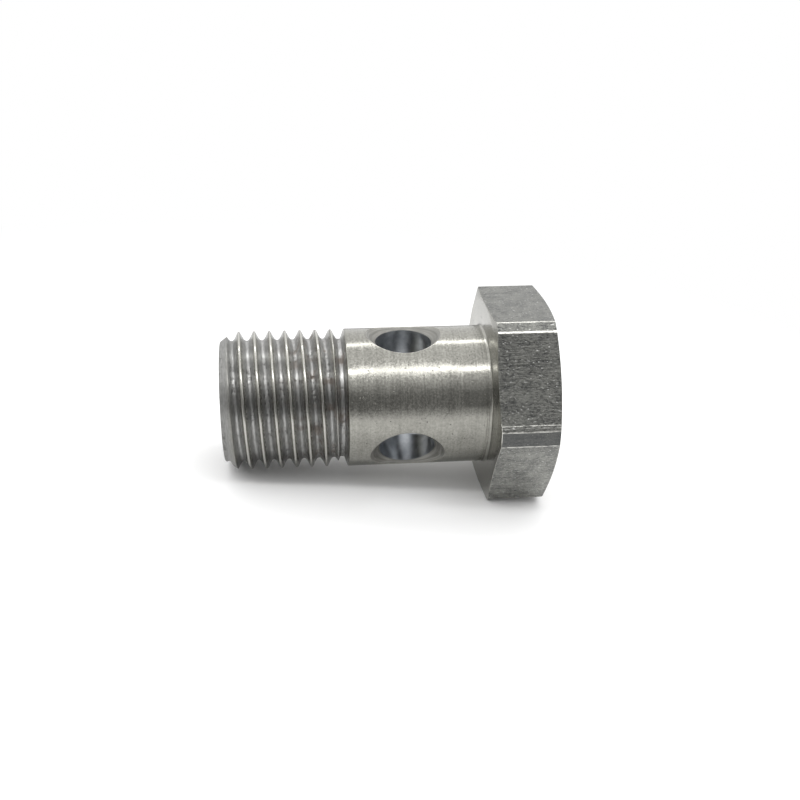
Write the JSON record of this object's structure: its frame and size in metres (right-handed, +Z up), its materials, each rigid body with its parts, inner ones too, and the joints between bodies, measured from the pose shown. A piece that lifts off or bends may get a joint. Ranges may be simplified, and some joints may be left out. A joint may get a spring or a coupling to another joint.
{
  "type": "banjo bolt",
  "caption": "Hollow hexagon-head banjo bolt, threaded at its open end, with countersunk cross holes in the plain shank that lead into a blind axial oil way.",
  "frame": {"origin": "centre of the bounding box's footprint, on the floor the bolt lies on", "axes": "+X from the threaded tip to the head, level; +Y across the bolt, away from the viewer; +Z up. The bolt's own axis lies in the XZ plane's direction, 5.9 degrees nose-down, because it rests on a head flat and its thread."},
  "size_m": [0.0336, 0.0215, 0.0195],
  "materials": {
    "steel": "bare turned and milled steel, lightly oiled and stained"
  },
  "bodies": {
    "root": {"banjo_bolt": "steel"}
  },
  "joints": []
}
